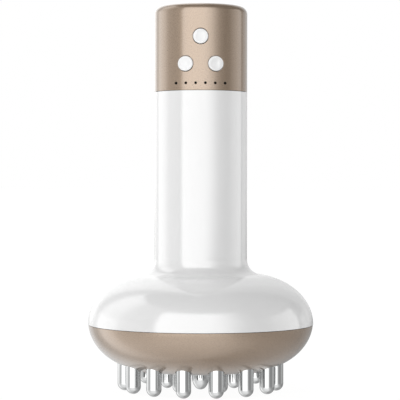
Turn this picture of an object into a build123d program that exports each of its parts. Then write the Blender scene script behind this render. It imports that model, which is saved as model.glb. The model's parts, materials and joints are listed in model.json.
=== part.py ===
from build123d import *
import math
import os

# Hand-held cellulite massager. Millimetres, Z up along the handle, buttons face -Y,
# the origin lies under the head's centre in the plane of the longest pin tips.

# Overall sizes
TOTAL_H = 170.0         # pin tips to the top of the cap
HEAD_R = 50.0           # widest radius, at the seam between the two shells
HANDLE_R = 20.6         # grip and cap radius
CAP_H = 37.9            # height of the coloured cap
HEAD_SEAM_Z = 29.2      # seam between the upper and the lower shell
HEAD_TOP_Z = 51.6       # where the dome meets the handle
FACE_Z = 8.9            # flat underside of the lower shell
FACE_INSET = 27.5       # that flat ends this far inside the widest radius
LOWER_MID_RISE = 1.8    # middle of the lower shell's oval edge above its rim
SHOULDER = 1.1          # from the grip out to the middle of the dome's oval edge
NECK_FILLET = 6.8
CAP_RIM = 3.4           # rounding of the cap's top edge
WALL = 2.2
CAP_WALL = 2.0

# Seams and fits
SEAM_GAP = 0.2          # open line at both seams
SEAL_DEPTH = 0.8        # groove in the body shell's ends, for the two seals
SEAL_LIP = 0.8          # wall left outside that groove
FIT = 0.05              # radial play of a guided or seated round piece
EASE = 0.15             # room between pieces that only pass each other
CUT = 1.0               # cuts start and end this far outside what they cut

# Pins: every angle is counted from the front
PIN_R = 3.3
INNER_PIN_R = 2.9
CENTRE_PIN_R = 3.8
CENTRE_PIN_TIP = 5.3    # height of the centre pin's oval end
PIN_GAP = 0.2           # open ring around each pin where it leaves the shell
OUTER_INSET = 16.4      # outer ring of pins, inside the widest radius
MIDDLE_STEP = 10.0      # from the outer ring in to the ring of screws and windows
INNER_STEP = 7.9        # from that ring in to the inner ring of pins
OUTER_ANGLES = [12 + 24 * i for i in range(15)]
INNER_ANGLES = [36 + 72 * i for i in range(5)]
SPIGOT_R = 1.5          # thin end of a pin, through the plate
SPIGOT_END = 0.2        # stands this much out of its nut
NUT_AF = 5.0
NUT_H = 2.4

# Plate that carries the pins, and what fastens it
PLATE_Z = 15.9
PLATE_T = 3.0
PLATE_MARGIN = 4.5      # from the outer ring of pins to the plate's edge
PLATE_SCREW_ANGLES = [36, 108, 252, 324]
BOSS_R = 3.0
SCREW_R = 1.4
SCREW_HEAD_R, SCREW_HEAD_H = 2.6, 1.8
SCREW_LEN = 12.0        # above the plate
HOLE_END = 1.0          # blind holes run on this much past their screws
CROSS_HALF_W = 0.3      # cross slot of every screw
CROSS_REACH = 0.6       # its length and depth, and the head's rounding, as shares
CROSS_DEPTH = 0.5       # of the head
HEAD_ROUNDING = 0.35
POST_R = 2.0
POST_ANGLES = [48, 120, 240, 312]
RIM_PLUG_RISE, RIM_PLUG_DROP, RIM_PLUG_WALL = 2.5, 6.5, 1.8

# Heater and red light
HEATER_T = 1.2
HEATER_ROOM = 3.4       # from the two rings' middles to the heater's edges
SENSOR_W, SENSOR_L, SENSOR_H = 2.4, 4.0, 1.2
LENS_ANGLES = [72, 144, 216, 288]
LENS_R = 3.0
LENS_PROUD = 0.8        # crown of the red window below the shell's flat
LENS_BALL_R = 8.0       # its curvature
LENS_FLANGE, LENS_FLANGE_T = 0.8, 1.0
LAMP_BOARD_W, LAMP_BOARD_L, LAMP_BOARD_T = 7.0, 6.0, 1.0
LED_R, LED_H, LED_ROUND = 1.5, 1.9, 0.8

# Vibration motor, its axis along X
MOTOR_R = 7.75
MOTOR_X0, MOTOR_X1 = -14.0, 8.0
MOTOR_Z = 34.9
MOTOR_ROUND = 0.6
BOSS_END_R, BOSS_END_L = 3.0, 1.0   # bearing boss on the motor's end
SHAFT_R = 1.0
SHAFT_END = 0.6
BORE_END = 2.0          # wall behind the shaft's blind bore
HUB_R = 2.4
WEIGHT_R = 6.5
WEIGHT_X0, WEIGHT_X1 = 9.6, 15.2
BRIDGE_RISE, BRIDGE_T = 3.2, 2.5    # bridge above the plate, over the nuts
BRIDGE_HALF_W = 4.0
BRIDGE_END = 3.0        # past the middle of the foot screws
FOOT_R = 3.2
FOOT_SCREW_R = 1.2
FOOT_HEAD_R, FOOT_HEAD_H = 2.4, 1.6
SADDLE_DROP = 4.0       # saddle's top below the motor's axis
SADDLE_INSET = 2.0      # from the motor's ends
CLAMP_X0, CLAMP_X1 = -6.0, 0.0
CLAMP_T = 1.5
EAR_ROOM = 2.4          # clamp strap's outside to the screw
EAR_MARGIN = 2.3        # screw to the ear's end
EAR_INSIDE = 0.7        # from the strap's seat to the ear
EAR_SCREW_R = 1.1
EAR_SCREW_LEN = 6.5     # below the ear
EAR_HEAD_R, EAR_HEAD_H = 2.0, 1.4

# Battery and charging
CELL_R = 9.2
CELL_Y = -4.0
CELL_ROUND = 0.7
GROOVE_DROP = 3.2       # groove in the cell below its top
CRADLE_T = 2.0
LEDGE_W = 1.9           # ledge in the grip that the cradle stands on
LEDGE_RISE = 3.9        # above the head's top
DISC_T = 2.0
TAB_T = 0.4
TAB_HALF_W = 3.0
CHARGE_BOARD_T = 1.6
CHARGE_HALF_W = 9.0
CHARGE_ROOM = 1.1       # cradle's back to the charging board
CHARGE_START, CHARGE_END = 30.0, 2.0    # board's ends from the cell's ends
CHARGE_POST_X = 6.0
CHARGE_POST_R = 2.0
CHARGE_POST_INSET = 3.5
SMALL_SCREW_R = 0.9
SMALL_HEAD_R, SMALL_HEAD_H = 1.6, 1.1
SMALL_BITE = 2.2        # small screws' hold in the cradle's posts
SOCKET_RISE = 10.0      # socket above the charging board's lower end
SOCKET_HALF_W, SOCKET_HALF_H = 4.47, 1.63
SOCKET_WALL = 0.35
SOCKET_INSET = 0.9      # mouth inside the grip's skin
SOCKET_FLOOR = 1.5
TONGUE_HALF_W, TONGUE_HALF_T, TONGUE_INSET = 3.2, 0.35, 0.6
LEAD_R = 0.6
MOTOR_LEAD_XS = [-13.4, -11.8]
BATTERY_LEAD_XS = [2.0, 13.4]
LEAD_STOP = 2.1         # leads end this far below the lower board screws

# Cap electronics
PLUG_LEN = 5.6          # the cap's ring inside the handle
PLUG_WALL = 2.0
PLUG_TAPER = 0.6, 1.6   # inside step from the plug to the cap's wall, above the seam
SKIN = 0.5              # collars and posts end this far under the cap's skin
BOARD_Y = -7.0          # front face of the control board
BOARD_T = 1.6
BOARD_HALF_W = 15.6
BOARD_START, BOARD_END = 1.8, 31.8      # its ends above the cap seam
BOARD_SCREW_X = 13.6
BOARD_SCREW_RISES = [6.3, 19.0]
BOARD_POST_R = 1.9
BOARD_BITE = 3.2        # small screws' hold in the cap's posts
CHIP_HALF, CHIP_T = 4.0, 1.4
SWITCH_W, SWITCH_T = 6.0, 3.5
PLUNGER_R = 1.75
PLUNGER_OUT, PLUNGER_IN = 1.5, 1.2      # out of its switch and into it

# Buttons: place on the cap as (x, height above the cap seam)
BUTTON_PLACES = {"top": (0.0, 23.3), "left": (-6.6, 11.5), "right": (6.6, 11.5)}
BUTTON_R = 3.25
BUTTON_RING = 0.35      # visible gap around a button
RING_END = 2.0          # that gap ends this far outside the collar's inner end
BUTTON_PROUD = 0.3
BUTTON_ROUND = 0.4
BUTTON_TRAVEL = 0.5
STEM_R = 1.6
DISH_R, DISH_DEPTH = 2.5, 0.35
COLLAR_WALL = 1.35      # outside of the button's bore
COLLAR_Y = -13.6        # inner end of the guide collars
FLANGE_LIP, FLANGE_T = 0.85, 0.8    # stop flange, beyond the button's side

# Indicator lights
DOT_XS = [-10.65, -6.39, -2.13, 2.13, 6.39, 10.65]
DOT_RISE = 3.1          # height above the cap seam
DOT_R = 0.6
DOT_RECESS = 0.5        # light rods end this far under the cap's skin
DOT_FIT = 0.025
PIPE_HALF_W, PIPE_HALF_H, PIPE_T = 12.0, 1.2, 1.4
PIPE_LEG_X, PIPE_LEG_R = 8.5, 1.0
PIXEL_HALF_W, PIXEL_HALF_H, PIXEL_T = 0.8, 0.5, 0.9

# Heights and radii that follow from the sizes above
FACE_R = HEAD_R - FACE_INSET
OUTER_RING_R = HEAD_R - OUTER_INSET
MIDDLE_RING_R = OUTER_RING_R - MIDDLE_STEP
INNER_RING_R = MIDDLE_RING_R - INNER_STEP
PLATE_R = OUTER_RING_R + PLATE_MARGIN
PLATE_TOP = PLATE_Z + PLATE_T
POST_RING_R = (OUTER_RING_R + MIDDLE_RING_R) / 2
BRIDGE_Z0 = PLATE_TOP + BRIDGE_RISE
BRIDGE_Z1 = BRIDGE_Z0 + BRIDGE_T
SADDLE_TOP = MOTOR_Z - SADDLE_DROP
SEAT_R = MOTOR_R + FIT              # saddle and strap around the motor
STRAP_R = SEAT_R + CLAMP_T
EAR_Y = STRAP_R + EAR_ROOM
EAR_END = EAR_Y + EAR_MARGIN
CLAMP_X = (CLAMP_X0 + CLAMP_X1) / 2
CAP_SEAM_Z = TOTAL_H - CAP_H
SHELL_TOP_Z = CAP_SEAM_Z - SEAM_GAP / 2
CAP_BOTTOM_Z = CAP_SEAM_Z + SEAM_GAP / 2
UPPER_RIM_Z = HEAD_SEAM_Z + SEAM_GAP / 2
LOWER_RIM_Z = HEAD_SEAM_Z - SEAM_GAP / 2
BORE_R = HANDLE_R - WALL
DOME_R0 = HANDLE_R + SHOULDER       # middle of the dome's oval edge
LEDGE_R = BORE_R - LEDGE_W
LEDGE_Z = HEAD_TOP_Z + LEDGE_RISE
CRADLE_TOP = CAP_SEAM_Z - PLUG_LEN
CELL_Z0 = LEDGE_Z + DISC_T + TAB_T
CELL_Z1 = CRADLE_TOP - DISC_T - TAB_T
CAP_CAVITY_R = HANDLE_R - CAP_WALL
COLLAR_R = BUTTON_R + COLLAR_WALL
FLANGE_R = BUTTON_R + FLANGE_LIP
DOT_Z = CAP_SEAM_Z + DOT_RISE
BOARD_Z0, BOARD_Z1 = CAP_SEAM_Z + BOARD_START, CAP_SEAM_Z + BOARD_END
BOARD_BACK_Y = BOARD_Y + BOARD_T
BOARD_SCREW_PLACES = [(x, CAP_SEAM_Z + rise) for x in (-BOARD_SCREW_X, BOARD_SCREW_X)
                      for rise in BOARD_SCREW_RISES]
CRADLE_R = CELL_R + FIT + CRADLE_T
CHARGE_Y = CELL_Y + CRADLE_R + CHARGE_ROOM      # front face of the charging board
CHARGE_Z0, CHARGE_Z1 = CELL_Z0 + CHARGE_START, CELL_Z1 - CHARGE_END
SOCKET_Z = CHARGE_Z0 + SOCKET_RISE
CHARGE_SCREW_ZS = [CHARGE_Z0 + CHARGE_POST_INSET, CHARGE_Z1 - CHARGE_POST_INSET]
LEAD_Y = BOARD_BACK_Y + LEAD_R
LEAD_TOP = CAP_SEAM_Z + BOARD_SCREW_RISES[0] - LEAD_STOP
MIN_Z = (Align.CENTER, Align.CENTER, Align.MIN)


def polar(radius, angle):
    """Point on a ring around Z, the angle counted in degrees from the front."""
    a = math.radians(angle)
    return radius * math.sin(a), -radius * math.cos(a)


def rod_z(x, y, z0, z1, radius):
    """Round bar standing along Z."""
    return Pos(x, y, z0) * Cylinder(radius, z1 - z0, align=MIN_Z)


def rod_y(x, z, y0, y1, radius):
    """Round bar along Y."""
    return Pos(x, y0, z) * Rot(-90, 0, 0) * Cylinder(radius, y1 - y0, align=MIN_Z)


def rod_x(y, z, x0, x1, radius):
    """Round bar along X."""
    return Pos(x0, y, z) * Rot(0, 90, 0) * Cylinder(radius, x1 - x0, align=MIN_Z)


def block(x0, x1, y0, y1, z0, z1):
    """Box between two corners."""
    middle = ((x0 + x1) / 2, (y0 + y1) / 2, (z0 + z1) / 2)
    return Pos(*middle) * Box(x1 - x0, y1 - y0, z1 - z0)


def tube_z(x, y, z0, z1, outer, inner):
    """Round ring standing along Z."""
    return rod_z(x, y, z0, z1, outer) - rod_z(x, y, z0 - CUT, z1 + CUT, inner)


def chain(points):
    """Straight edges through (radius, height) points."""
    return [Line(a, b) for a, b in zip(points, points[1:])]


def turned(edges):
    """Solid turned about Z from edges drawn as (radius, height)."""
    return revolve(Plane.XZ * make_face(edges), Axis.Z)


def oval_r(z, mid_r, mid_z, semi_r, semi_z):
    """Radius of an elliptical edge at one height."""
    return mid_r + semi_r * math.sqrt(1 - ((z - mid_z) / semi_z) ** 2)


def save(name, *solids):
    """Write one node, with each of its solids kept apart."""
    shape = solids[0] if len(solids) == 1 else Compound(children=list(solids))
    export_step(shape, f"parts/{name}.step")
    print(name, len(solids))


def neck_angle():
    """Angle on the dome's ellipse where the neck fillet touches it."""
    semi_r, semi_z = HEAD_R - DOME_R0, HEAD_TOP_Z - UPPER_RIM_Z
    low, high = math.radians(45), math.radians(90)
    for _ in range(60):
        t = (low + high) / 2
        nr, nz = semi_z * math.cos(t), semi_r * math.sin(t)
        reach = DOME_R0 + semi_r * math.cos(t) + NECK_FILLET * nr / math.hypot(nr, nz)
        low, high = (t, high) if reach > HANDLE_R + NECK_FILLET else (low, t)
    return t


def make_body_shell():
    """Grip and upper half of the head in one piece, with bosses for the pin plate."""
    semi_r, semi_z = HEAD_R - DOME_R0, HEAD_TOP_Z - UPPER_RIM_Z
    t = neck_angle()
    touch = (DOME_R0 + semi_r * math.cos(t), UPPER_RIM_Z + semi_z * math.sin(t))
    nr, nz = semi_z * math.cos(t), semi_r * math.sin(t)
    mid_z = touch[1] + NECK_FILLET * nz / math.hypot(nr, nz)
    mid_r = HANDLE_R + NECK_FILLET
    half = (math.pi + math.atan2(touch[1] - mid_z, touch[0] - mid_r) % (2 * math.pi)) / 2
    on_arc = (mid_r + NECK_FILLET * math.cos(half), mid_z + NECK_FILLET * math.sin(half))
    inner_z = HEAD_TOP_Z - WALL
    outline = [
        EllipticalCenterArc((DOME_R0, UPPER_RIM_Z), semi_r, semi_z, 0,
                            arc_size=math.degrees(t)),
        ThreePointArc(touch, on_arc, (HANDLE_R, mid_z)),
        *chain([(HANDLE_R, mid_z), (HANDLE_R, SHELL_TOP_Z), (BORE_R, SHELL_TOP_Z),
                (BORE_R, LEDGE_Z), (LEDGE_R, LEDGE_Z), (LEDGE_R, inner_z),
                (DOME_R0, inner_z)]),
        EllipticalCenterArc((DOME_R0, UPPER_RIM_Z), semi_r - WALL, semi_z - WALL, 0,
                            arc_size=90),
        Line((HEAD_R - WALL, UPPER_RIM_Z), (HEAD_R, UPPER_RIM_Z)),
    ]
    shell = turned(outline)
    inside = turned([
        EllipticalCenterArc((DOME_R0, UPPER_RIM_Z), semi_r - WALL / 2, semi_z - WALL / 2,
                            0, arc_size=90),
        *chain([(DOME_R0, UPPER_RIM_Z + semi_z - WALL / 2),
                (0, UPPER_RIM_Z + semi_z - WALL / 2), (0, PLATE_TOP),
                (HEAD_R - WALL / 2, PLATE_TOP), (HEAD_R - WALL / 2, UPPER_RIM_Z)]),
    ])
    for angle in PLATE_SCREW_ANGLES:
        x, y = polar(MIDDLE_RING_R, angle)
        shell += rod_z(x, y, PLATE_TOP, HEAD_TOP_Z, BOSS_R) & inside
    for angle in PLATE_SCREW_ANGLES:
        x, y = polar(MIDDLE_RING_R, angle)
        shell -= rod_z(x, y, PLATE_TOP - CUT, PLATE_TOP + SCREW_LEN + HOLE_END, SCREW_R + FIT)
    shell -= tube_z(0, 0, UPPER_RIM_Z, UPPER_RIM_Z + SEAL_DEPTH, HEAD_R - SEAL_LIP,
                    HEAD_R - WALL - CUT)
    shell -= tube_z(0, 0, SHELL_TOP_Z - SEAL_DEPTH, SHELL_TOP_Z, HANDLE_R - SEAL_LIP,
                    BORE_R - CUT)
    return shell - socket_slot()


def make_head_seal():
    """Seal in the body shell's lower groove, resting on the lower shell's rim."""
    return tube_z(0, 0, LOWER_RIM_Z, UPPER_RIM_Z + SEAL_DEPTH, HEAD_R - SEAL_LIP - FIT,
                  HEAD_R - WALL + 2 * EASE)


def make_cap_seal():
    """Seal in the body shell's upper groove, under the cap's edge."""
    return tube_z(0, 0, SHELL_TOP_Z - SEAL_DEPTH, CAP_BOTTOM_Z, HANDLE_R - SEAL_LIP - FIT,
                  BORE_R + EASE)


def socket_slot():
    """Opening in the back of the grip for the charging socket."""
    half_w, half_h = SOCKET_HALF_W + EASE, SOCKET_HALF_H + EASE
    outline = Plane(origin=(0, 0, SOCKET_Z), x_dir=(1, 0, 0), z_dir=(0, 1, 0)) * \
        SlotOverall(2 * half_w, 2 * half_h)
    return Pos(0, BORE_R - WALL, 0) * extrude(outline, amount=HANDLE_R)


def make_lower_shell():
    """Lower half of the head: pin holes, window holes, support posts and rim plug."""
    middle = (FACE_R, LOWER_RIM_Z + LOWER_MID_RISE)
    semi_r, semi_z = HEAD_R - FACE_R, middle[1] - FACE_Z
    arcs = []
    for inset in (0, WALL):
        below = math.degrees(math.asin(LOWER_MID_RISE / (semi_z - inset)))
        arcs.append(EllipticalCenterArc(middle, semi_r - inset, semi_z - inset, 270,
                                        arc_size=90 - below))
    outside, inside = arcs
    shell = turned([
        Line(inside @ 1, outside @ 1), outside,
        *chain([(FACE_R, FACE_Z), (0, FACE_Z), (0, FACE_Z + WALL),
                (FACE_R, FACE_Z + WALL)]),
        inside,
    ])
    plug_top = UPPER_RIM_Z + RIM_PLUG_RISE
    plug_r = oval_r(plug_top, DOME_R0, UPPER_RIM_Z, HEAD_R - DOME_R0 - WALL,
                    HEAD_TOP_Z - UPPER_RIM_Z - WALL) - EASE
    plug = tube_z(0, 0, LOWER_RIM_Z - RIM_PLUG_DROP, plug_top, plug_r, plug_r - RIM_PLUG_WALL)
    shell += plug
    for angle in POST_ANGLES:
        x, y = polar(POST_RING_R, angle)
        shell += rod_z(x, y, FACE_Z + WALL / 2 + EASE, PLATE_Z, POST_R)
    for x, y, radius in pin_places():
        shell -= rod_z(x, y, FACE_Z - CUT, PLATE_Z, radius + PIN_GAP)
    for angle in LENS_ANGLES:
        x, y = polar(MIDDLE_RING_R, angle)
        shell -= rod_z(x, y, FACE_Z - CUT, FACE_Z + WALL + CUT, LENS_R + FIT)
        shell -= rod_z(x, y, FACE_Z + WALL, FACE_Z + WALL + LENS_FLANGE_T,
                       LENS_R + LENS_FLANGE + FIT)
    return shell


def pin_places():
    """Every pin as (x, y, radius)."""
    places = [(*polar(OUTER_RING_R, angle), PIN_R) for angle in OUTER_ANGLES]
    places += [(*polar(INNER_RING_R, angle), INNER_PIN_R) for angle in INNER_ANGLES]
    return places + [(0.0, 0.0, CENTRE_PIN_R)]


def make_pin(radius, tip_h):
    """Round-ended pin with a shoulder under the plate and a thin end through it."""
    bend, top = math.sqrt(0.5), PLATE_TOP + NUT_H + SPIGOT_END
    return turned([
        Spline((0, 0), (radius * bend, tip_h * (1 - bend)), (radius, tip_h),
               tangents=((1, 0), (0, 1))),
        *chain([(radius, tip_h), (radius, PLATE_Z), (SPIGOT_R, PLATE_Z),
                (SPIGOT_R, top), (0, top), (0, 0)]),
    ])


def ring_of(shape, radius, angles):
    """Copies of a shape around Z."""
    return [Pos(*polar(radius, angle), 0) * shape for angle in angles]


def make_nut():
    """Hexagon nut lying on the plate."""
    outline = RegularPolygon(NUT_AF / 2, 6, major_radius=False) - Circle(SPIGOT_R + FIT / 2)
    return Pos(0, 0, PLATE_TOP) * extrude(outline, amount=NUT_H)


def make_pin_plate():
    """Metal disc that carries the pins and spreads the warmth."""
    plate = rod_z(0, 0, PLATE_Z, PLATE_TOP, PLATE_R)
    for x, y, _ in pin_places():
        plate -= rod_z(x, y, PLATE_Z - CUT, PLATE_TOP + CUT, SPIGOT_R + FIT)
    for angle in PLATE_SCREW_ANGLES:
        x, y = polar(MIDDLE_RING_R, angle)
        plate -= rod_z(x, y, PLATE_Z - CUT, PLATE_TOP + CUT, SCREW_R + EASE)
    for y in (-MIDDLE_RING_R, MIDDLE_RING_R):
        plate -= rod_z(0, y, PLATE_Z - CUT, PLATE_TOP + CUT, FOOT_SCREW_R + FIT)
    return plate


def make_screw(radius, shank, head_r, head_h):
    """Pan-head screw, its head's underside at the origin and the shank along +Z."""
    screw = rod_z(0, 0, 0, shank, radius) + rod_z(0, 0, -head_h, 0, head_r)
    rim = screw.edges().filter_by(GeomType.CIRCLE).sort_by(Axis.Z)[0]
    screw = fillet(rim, head_h * HEAD_ROUNDING)
    reach = head_r * CROSS_REACH
    cross = block(-reach, reach, -CROSS_HALF_W, CROSS_HALF_W, -head_h - CUT,
                  -head_h * CROSS_DEPTH)
    return screw - cross - Rot(0, 0, 90) * cross


def make_plate_screws():
    screw = make_screw(SCREW_R, PLATE_T + SCREW_LEN, SCREW_HEAD_R, SCREW_HEAD_H)
    return [Pos(*polar(MIDDLE_RING_R, a), PLATE_Z) * screw for a in PLATE_SCREW_ANGLES]


def make_heater_ring():
    """Flat heater on the plate between the outer nuts and the ring of bosses."""
    half = (OUTER_RING_R - MIDDLE_RING_R) / 2 - HEATER_ROOM
    return tube_z(0, 0, PLATE_TOP, PLATE_TOP + HEATER_T, POST_RING_R + half,
                  POST_RING_R - half)


def make_temperature_sensor():
    z0 = PLATE_TOP + HEATER_T
    x, y = polar(POST_RING_R, 90)
    return block(x - SENSOR_W / 2, x + SENSOR_W / 2, y - SENSOR_L / 2, y + SENSOR_L / 2,
                 z0, z0 + SENSOR_H)


def make_lens():
    """Round window for the red light, flanged against the inside of the shell."""
    crown = FACE_Z - LENS_PROUD
    lens = rod_z(0, 0, crown, FACE_Z + WALL, LENS_R)
    lens &= Pos(0, 0, crown + LENS_BALL_R) * Sphere(LENS_BALL_R)
    return lens + rod_z(0, 0, FACE_Z + WALL, FACE_Z + WALL + LENS_FLANGE_T,
                        LENS_R + LENS_FLANGE)


def make_red_led():
    top = PLATE_Z - LAMP_BOARD_T
    led = rod_z(0, 0, top - LED_H, top, LED_R)
    return fillet(led.edges().filter_by(GeomType.CIRCLE).sort_by(Axis.Z)[0], LED_ROUND)


def make_lamp_board():
    """Small board under the plate, above a red window."""
    return block(-LAMP_BOARD_W / 2, LAMP_BOARD_W / 2, -LAMP_BOARD_L / 2, LAMP_BOARD_L / 2,
                 PLATE_Z - LAMP_BOARD_T, PLATE_Z)


def make_motor_bracket():
    """Bridge over the nuts on two feet, with a saddle for the motor."""
    reach = MIDDLE_RING_R + BRIDGE_END
    bracket = block(-BRIDGE_HALF_W, BRIDGE_HALF_W, -reach, reach, BRIDGE_Z0, BRIDGE_Z1)
    bracket += block(MOTOR_X0 + SADDLE_INSET, MOTOR_X1 - SADDLE_INSET, -STRAP_R, STRAP_R,
                     BRIDGE_Z0, SADDLE_TOP)
    bracket += block(CLAMP_X0, CLAMP_X1, -EAR_END, EAR_END, BRIDGE_Z0, SADDLE_TOP)
    bracket -= rod_x(0, MOTOR_Z, MOTOR_X0, MOTOR_X1, SEAT_R)
    for side in (-1, 1):
        y = side * MIDDLE_RING_R
        bracket += rod_z(0, y, PLATE_TOP, BRIDGE_Z1, FOOT_R)
        bracket -= rod_z(0, y, PLATE_TOP - CUT, BRIDGE_Z1 + CUT, FOOT_SCREW_R + EASE)
        bracket -= rod_z(CLAMP_X, side * EAR_Y, SADDLE_TOP - EAR_SCREW_LEN - HOLE_END,
                         SADDLE_TOP + CUT, EAR_SCREW_R + FIT)
    return bracket


def make_motor_clamp():
    """Strap over the motor, screwed to the saddle's ears."""
    clamp = rod_x(0, MOTOR_Z, CLAMP_X0, CLAMP_X1, STRAP_R)
    clamp += block(CLAMP_X0, CLAMP_X1, -STRAP_R, STRAP_R, SADDLE_TOP, MOTOR_Z)
    clamp &= block(CLAMP_X0, CLAMP_X1, -EAR_END, EAR_END, SADDLE_TOP, MOTOR_Z + STRAP_R + CUT)
    clamp -= block(CLAMP_X0 - CUT, CLAMP_X1 + CUT, -SEAT_R, SEAT_R, SADDLE_TOP - CUT, MOTOR_Z)
    clamp -= rod_x(0, MOTOR_Z, CLAMP_X0 - CUT, CLAMP_X1 + CUT, SEAT_R)
    foot = SADDLE_TOP + CLAMP_T
    ear_y = SEAT_R + EAR_INSIDE
    for y0, y1 in ((ear_y, EAR_END), (-EAR_END, -ear_y)):
        clamp += block(CLAMP_X0, CLAMP_X1, y0, y1, SADDLE_TOP, foot)
    for side in (-1, 1):
        clamp -= rod_z(CLAMP_X, side * EAR_Y, SADDLE_TOP - CUT, foot + CUT, EAR_SCREW_R + EASE)
    return clamp


def make_motor_screws():
    """Two screws through the bridge's feet and two for the clamp, heads up."""
    foot = Rot(180, 0, 0) * make_screw(FOOT_SCREW_R, BRIDGE_Z1 - PLATE_Z - EASE, FOOT_HEAD_R,
                                       FOOT_HEAD_H)
    ear = Rot(180, 0, 0) * make_screw(EAR_SCREW_R, CLAMP_T + EAR_SCREW_LEN, EAR_HEAD_R,
                                      EAR_HEAD_H)
    feet = [Pos(0, side * MIDDLE_RING_R, BRIDGE_Z1) * foot for side in (-1, 1)]
    ears = [Pos(CLAMP_X, side * EAR_Y, SADDLE_TOP + CLAMP_T) * ear for side in (-1, 1)]
    return feet + ears


def make_motor_can():
    can = rod_x(0, MOTOR_Z, MOTOR_X0, MOTOR_X1, MOTOR_R)
    can = fillet(can.edges().filter_by(GeomType.CIRCLE), MOTOR_ROUND)
    can += rod_x(0, MOTOR_Z, MOTOR_X1 - MOTOR_ROUND, MOTOR_X1 + BOSS_END_L, BOSS_END_R)
    return can - rod_x(0, MOTOR_Z, MOTOR_X0 + BORE_END, MOTOR_X1 + BOSS_END_L + CUT, SHAFT_R + FIT)


def make_motor_shaft():
    return rod_x(0, MOTOR_Z, MOTOR_X0 + BORE_END + EASE, WEIGHT_X1 + SHAFT_END, SHAFT_R)


def make_motor_weight():
    """Off-centre weight, hanging down at rest."""
    weight = rod_x(0, MOTOR_Z, WEIGHT_X0, WEIGHT_X1, WEIGHT_R)
    weight &= block(WEIGHT_X0, WEIGHT_X1, -WEIGHT_R, WEIGHT_R, MOTOR_Z - WEIGHT_R, MOTOR_Z)
    weight += rod_x(0, MOTOR_Z, WEIGHT_X0, WEIGHT_X1, HUB_R)
    return weight - rod_x(0, MOTOR_Z, WEIGHT_X0 - CUT, WEIGHT_X1 + CUT, SHAFT_R)


def make_motor_leads():
    """Two straight leads from the control board down to the motor."""
    can = rod_x(0, MOTOR_Z, MOTOR_X0 - CUT, MOTOR_X1, MOTOR_R)
    return [rod_z(x, LEAD_Y, MOTOR_Z, LEAD_TOP, LEAD_R) - can for x in MOTOR_LEAD_XS]


def make_battery_cradle():
    """Two discs that fit the grip, joined by a half tube behind the cell."""
    discs = rod_z(0, 0, LEDGE_Z, LEDGE_Z + DISC_T, BORE_R - FIT)
    discs += rod_z(0, 0, CRADLE_TOP - DISC_T, CRADLE_TOP, BORE_R - FIT)
    half = tube_z(0, CELL_Y, LEDGE_Z + DISC_T / 2, CRADLE_TOP - DISC_T / 2, CRADLE_R,
                  CELL_R + FIT)
    half &= block(-CRADLE_R, CRADLE_R, CELL_Y, CELL_Y + CRADLE_R, LEDGE_Z, CRADLE_TOP)
    cradle = discs + half
    room = rod_z(0, CELL_Y, CELL_Z0, CELL_Z1, CELL_R + CRADLE_T / 2)
    for x in (-CHARGE_POST_X, CHARGE_POST_X):
        for z in CHARGE_SCREW_ZS:
            cradle += rod_y(x, z, CELL_Y, CHARGE_Y, CHARGE_POST_R) - room
    for x, z in charge_screw_places():
        cradle -= rod_y(x, z, CHARGE_Y - SMALL_BITE - FIT, CHARGE_Y + CUT, SMALL_SCREW_R + FIT)
    for x in MOTOR_LEAD_XS + BATTERY_LEAD_XS[1:]:
        cradle -= rod_z(x, LEAD_Y, LEDGE_Z - CUT, CRADLE_TOP + CUT, LEAD_R + EASE)
    return cradle - rod_z(BATTERY_LEAD_XS[0], LEAD_Y, CRADLE_TOP - DISC_T - CUT, CRADLE_TOP + CUT,
                          LEAD_R + EASE)


def charge_screw_places():
    return [(-CHARGE_POST_X, CHARGE_SCREW_ZS[0]), (CHARGE_POST_X, CHARGE_SCREW_ZS[1])]


def make_battery_cell():
    """Round cell with a groove near its top end."""
    cell = rod_z(0, CELL_Y, CELL_Z0, CELL_Z1, CELL_R)
    cell = fillet(cell.edges().filter_by(GeomType.CIRCLE), CELL_ROUND)
    groove = Pos(0, CELL_Y, CELL_Z1 - GROOVE_DROP) * Torus(CELL_R + CELL_ROUND / 2, CELL_ROUND)
    return cell - groove


def make_battery_tabs():
    """Contact strips at the cell's two ends; the lower one runs out to a lead."""
    w = TAB_HALF_W
    top = block(-w, w, CELL_Y - w, CELL_Y + w, CELL_Z1, CELL_Z1 + TAB_T)
    low = block(-w, BATTERY_LEAD_XS[1] + LEAD_R, LEAD_Y - LEAD_R, LEAD_Y + LEAD_R,
                CELL_Z0 - TAB_T, CELL_Z0)
    return [top, low]


def make_battery_leads():
    """One lead from each contact strip up to the back of the control board."""
    starts = (CELL_Z1 + TAB_T, CELL_Z0)
    return [rod_z(x, LEAD_Y, z, LEAD_TOP, LEAD_R) for x, z in zip(BATTERY_LEAD_XS, starts)]


def make_charging_board():
    board = block(-CHARGE_HALF_W, CHARGE_HALF_W, CHARGE_Y, CHARGE_Y + CHARGE_BOARD_T,
                  CHARGE_Z0, CHARGE_Z1)
    for x, z in charge_screw_places():
        board -= rod_y(x, z, CHARGE_Y - CUT, CHARGE_Y + CHARGE_BOARD_T + CUT,
                       SMALL_SCREW_R + EASE)
    return board


def make_charging_screws():
    screw = Rot(90, 0, 0) * make_screw(SMALL_SCREW_R, CHARGE_BOARD_T + SMALL_BITE,
                                       SMALL_HEAD_R, SMALL_HEAD_H)
    return [Pos(x, CHARGE_Y + CHARGE_BOARD_T, z) * screw for x, z in charge_screw_places()]


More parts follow.
